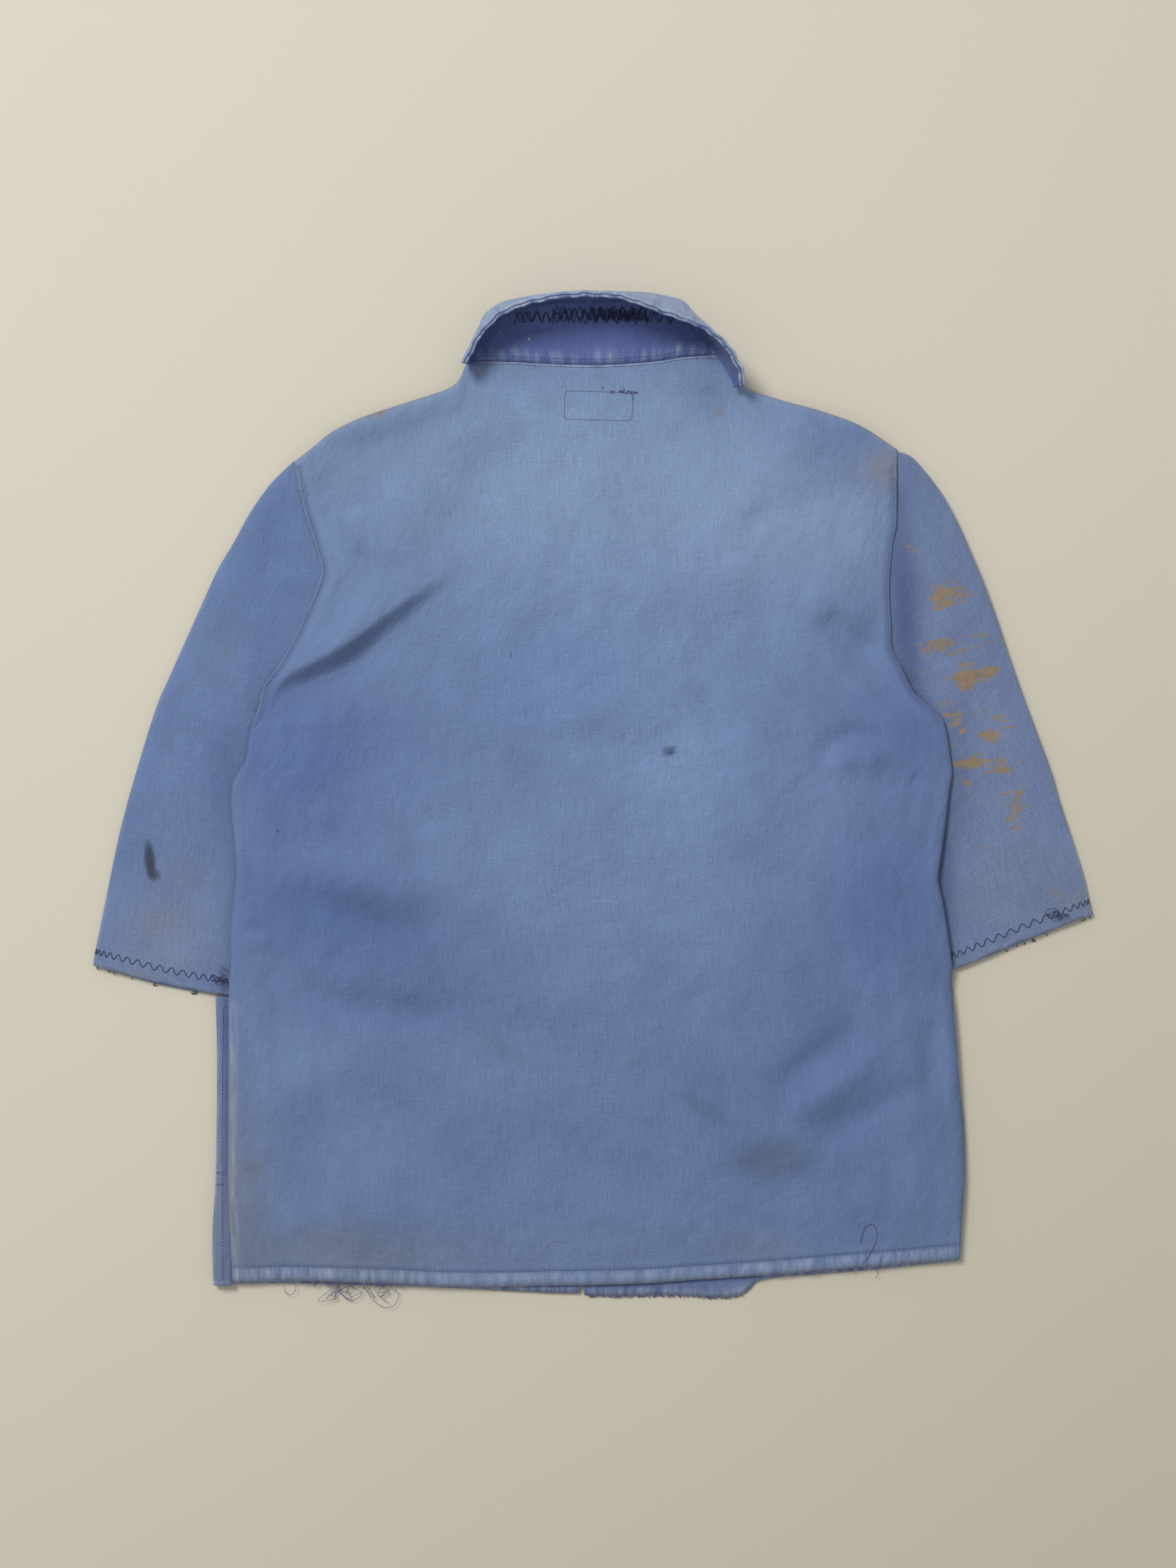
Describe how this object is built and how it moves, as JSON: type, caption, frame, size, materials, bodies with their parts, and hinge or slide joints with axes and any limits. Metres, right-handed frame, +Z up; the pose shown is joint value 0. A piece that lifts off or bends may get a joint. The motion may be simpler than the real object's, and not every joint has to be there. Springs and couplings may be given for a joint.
{
  "type": "work smock",
  "caption": "Short-sleeved cotton work smock lying flat with its back up, its collar raised, open down the front, with patch pockets.",
  "frame": {"origin": "on the surface the smock lies on, under the middle of its outline", "axes": "+Z up out of the back, +Y from hem to collar, +X to the wearer's right"},
  "size_m": [0.8136, 0.8058, 0.0642],
  "materials": {
    "twill": "washed-out blue cotton twill, dry and matt",
    "sleeve_twill": "washed-out blue cotton twill with paint spatter",
    "under_collar": "unfaded indigo cotton twill",
    "interlining": "plain woven cotton canvas",
    "label": "blank woven tape",
    "thread": "dark spun thread",
    "button": "worn moulded button"
  },
  "bodies": {
    "back": {"back_panel": "twill", "neck_label": "label", "left_sleeve_head": "sleeve_twill", "right_sleeve_head": "sleeve_twill"},
    "left_sleeve": {"left_sleeve": "sleeve_twill"},
    "right_sleeve": {"right_sleeve": "sleeve_twill"},
    "left_front": {"left_front": "twill", "left_front_facing": "twill", "left_hip_pocket": "twill", "left_chest_pocket": "twill", "left_collar_point_top": "twill", "left_collar_point_under": "under_collar"},
    "right_front": {"right_front": "twill", "right_front_facing": "twill", "right_hip_pocket": "twill", "right_collar_point_top": "twill", "right_collar_point_under": "under_collar", "button_1": "button", "button_2": "button", "button_3": "button", "button_4": "button", "button_5": "button", "button_thread_1": "thread", "button_thread_2": "thread", "button_thread_3": "thread", "button_thread_4": "thread", "button_thread_5": "thread"},
    "collar_stand": {"collar_stand_under": "under_collar", "collar_stand_interlining": "interlining", "collar_stand_inner": "twill", "collar_darning": "thread"},
    "collar_leaf": {"collar_leaf_under": "under_collar", "collar_leaf_interlining": "interlining", "collar_leaf_top": "twill"}
  },
  "joints": [
    {"name": "left_sleeve_fold", "type": "hinge", "parent": "back", "child": "left_sleeve", "pos_m": [-0.2705, 0.05905, 0.0191], "axis": [0.1218, 0.9926, 0], "range_deg": [0, 165]},
    {"name": "right_sleeve_fold", "type": "hinge", "parent": "back", "child": "right_sleeve", "pos_m": [0.2705, 0.06955, 0.0191], "axis": [0.1279, -0.9918, 0], "range_deg": [0, 165]},
    {"name": "left_front_opening", "type": "hinge", "parent": "back", "child": "left_front", "pos_m": [-0.2701, 0.05905, 0.0075], "axis": [0.1218, 0.9926, 0], "range_deg": [0, 90]},
    {"name": "right_front_opening", "type": "hinge", "parent": "back", "child": "right_front", "pos_m": [0.2701, 0.06955, 0.0075], "axis": [0.1279, -0.9918, 0], "range_deg": [0, 90]},
    {"name": "collar_stand_lift", "type": "hinge", "parent": "back", "child": "collar_stand", "pos_m": [0, 0.3555, 0.013], "axis": [1, 0, 0], "range_deg": [0, 40]},
    {"name": "collar_roll", "type": "hinge", "parent": "collar_stand", "child": "collar_leaf", "pos_m": [0, 0.3993, 0.0174], "axis": [1, 0, 0], "range_deg": [-80, 0]}
  ]
}
